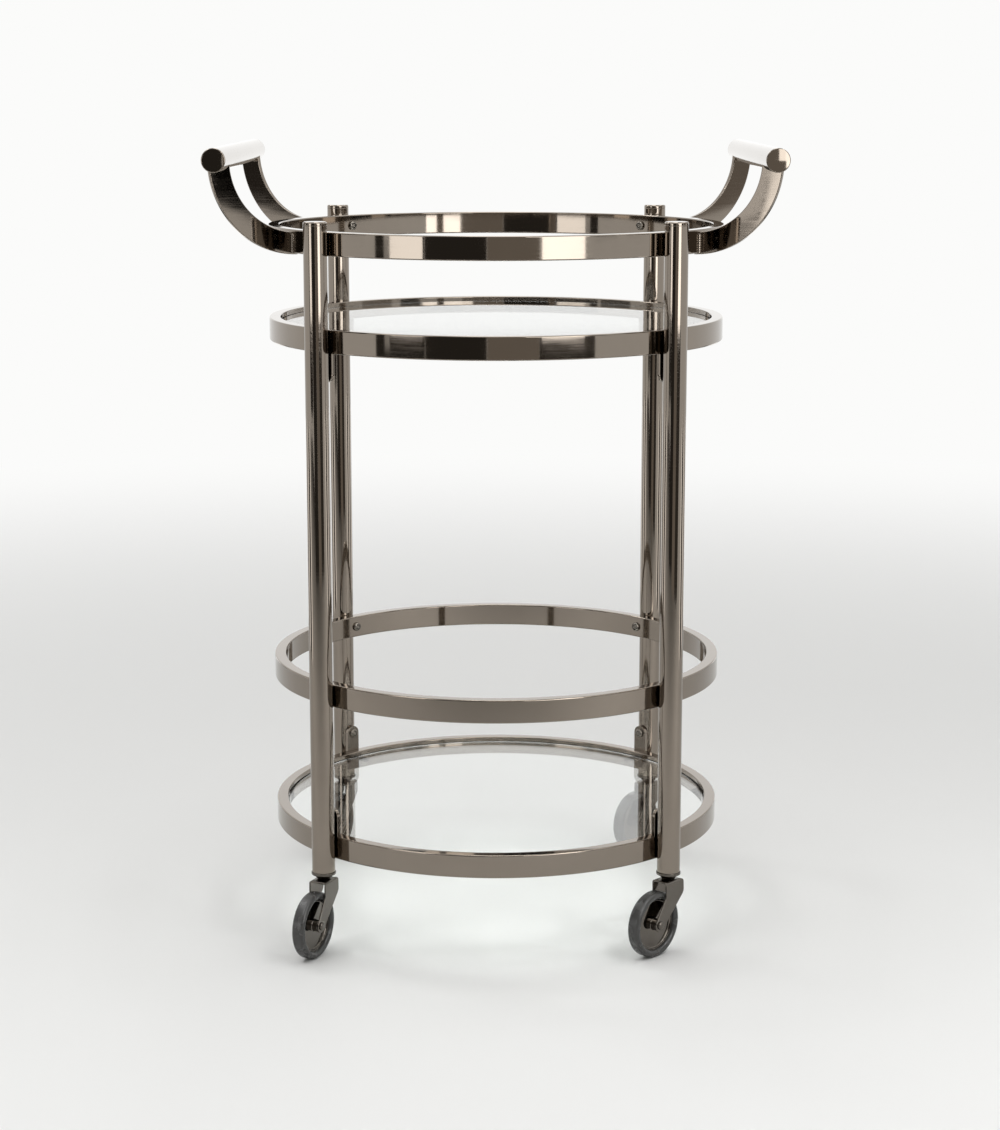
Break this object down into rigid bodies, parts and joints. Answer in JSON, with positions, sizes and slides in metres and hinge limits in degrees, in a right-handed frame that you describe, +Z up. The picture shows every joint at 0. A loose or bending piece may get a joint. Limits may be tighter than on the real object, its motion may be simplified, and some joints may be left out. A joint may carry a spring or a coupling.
{
  "type": "bar cart",
  "caption": "Round two-tier bar cart: polished tube posts outside flat rings, clear glass shelves, guard rails, bar handles on curved arms at both sides and swivel casters.",
  "frame": {"origin": "on the floor, under the middle of the rings", "axes": "+Z up, +X towards the right handle, +Y to the back"},
  "size_m": [0.6072, 0.51, 0.8757],
  "materials": {
    "polished_nickel": "polished, warm grey",
    "clear_glass": "clear, polished",
    "clear_silicone": "translucent, satin",
    "dark_steel": "darkened, satin",
    "zinc_steel": "dull plated",
    "chromed_steel": "polished",
    "nylon": "natural",
    "grey_rubber": "semi-gloss, dark grey"
  },
  "bodies": {
    "cart_frame": {"top_rail": "polished_nickel", "upper_shelf_ring": "polished_nickel", "lower_rail": "polished_nickel", "bottom_shelf_ring": "polished_nickel", "upper_shelf_tabs": "polished_nickel", "bottom_shelf_tabs": "polished_nickel", "upper_shelf_lugs": "polished_nickel", "bottom_shelf_lugs": "polished_nickel", "front_left_post": "polished_nickel", "front_right_post": "polished_nickel", "rear_left_post": "polished_nickel", "rear_right_post": "polished_nickel", "post_caps": "polished_nickel", "left_front_arm": "polished_nickel", "left_rear_arm": "polished_nickel", "right_front_arm": "polished_nickel", "right_rear_arm": "polished_nickel", "left_handle_bar": "polished_nickel", "right_handle_bar": "polished_nickel", "handle_end_caps": "polished_nickel", "upper_glass": "clear_glass", "bottom_glass": "clear_glass", "upper_shelf_pads": "clear_silicone", "bottom_shelf_pads": "clear_silicone", "top_rail_screws": "dark_steel", "upper_shelf_screws": "dark_steel", "lower_rail_screws": "dark_steel", "bottom_shelf_screws": "dark_steel", "post_bushes": "zinc_steel", "caster_sockets": "zinc_steel", "front_left_stem": "zinc_steel", "front_right_stem": "zinc_steel", "rear_left_stem": "zinc_steel", "rear_right_stem": "zinc_steel"},
    "front_left_caster": {"front_left_fork": "chromed_steel", "front_left_axle_bolt": "chromed_steel", "front_left_axle_nut": "chromed_steel"},
    "front_left_wheel": {"front_left_hub": "chromed_steel", "front_left_hub_bush": "nylon", "front_left_tyre": "grey_rubber"},
    "front_right_caster": {"front_right_fork": "chromed_steel", "front_right_axle_bolt": "chromed_steel", "front_right_axle_nut": "chromed_steel"},
    "front_right_wheel": {"front_right_hub": "chromed_steel", "front_right_hub_bush": "nylon", "front_right_tyre": "grey_rubber"},
    "rear_left_caster": {"rear_left_fork": "chromed_steel", "rear_left_axle_bolt": "chromed_steel", "rear_left_axle_nut": "chromed_steel"},
    "rear_left_wheel": {"rear_left_hub": "chromed_steel", "rear_left_hub_bush": "nylon", "rear_left_tyre": "grey_rubber"},
    "rear_right_caster": {"rear_right_fork": "chromed_steel", "rear_right_axle_bolt": "chromed_steel", "rear_right_axle_nut": "chromed_steel"},
    "rear_right_wheel": {"rear_right_hub": "chromed_steel", "rear_right_hub_bush": "nylon", "rear_right_tyre": "grey_rubber"}
  },
  "joints": [
    {"name": "front_left_swivel", "type": "hinge", "parent": "cart_frame", "child": "front_left_caster", "pos_m": [-0.18936, -0.18936, 0.0825], "axis": [0, 0, 1], "continuous": true},
    {"name": "front_left_roll", "type": "hinge", "parent": "front_left_caster", "child": "front_left_wheel", "pos_m": [-0.19993, -0.21202, 0.0365], "axis": [0.9063, -0.4226, 0], "continuous": true},
    {"name": "front_right_swivel", "type": "hinge", "parent": "cart_frame", "child": "front_right_caster", "pos_m": [0.18936, -0.18936, 0.0825], "axis": [0, 0, 1], "continuous": true},
    {"name": "front_right_roll", "type": "hinge", "parent": "front_right_caster", "child": "front_right_wheel", "pos_m": [0.17231, -0.20765, 0.0365], "axis": [0.7314, -0.682, 0], "continuous": true},
    {"name": "rear_left_swivel", "type": "hinge", "parent": "cart_frame", "child": "rear_left_caster", "pos_m": [-0.18936, 0.18936, 0.0825], "axis": [0, 0, 1], "continuous": true},
    {"name": "rear_left_roll", "type": "hinge", "parent": "rear_left_caster", "child": "rear_left_wheel", "pos_m": [-0.19993, 0.16671, 0.0365], "axis": [0.9063, -0.4226, 0], "continuous": true},
    {"name": "rear_right_swivel", "type": "hinge", "parent": "cart_frame", "child": "rear_right_caster", "pos_m": [0.18936, 0.18936, 0.0825], "axis": [0, 0, 1], "continuous": true},
    {"name": "rear_right_roll", "type": "hinge", "parent": "rear_right_caster", "child": "rear_right_wheel", "pos_m": [0.17264, 0.17078, 0.0365], "axis": [0.7431, -0.6691, 0], "continuous": true}
  ]
}
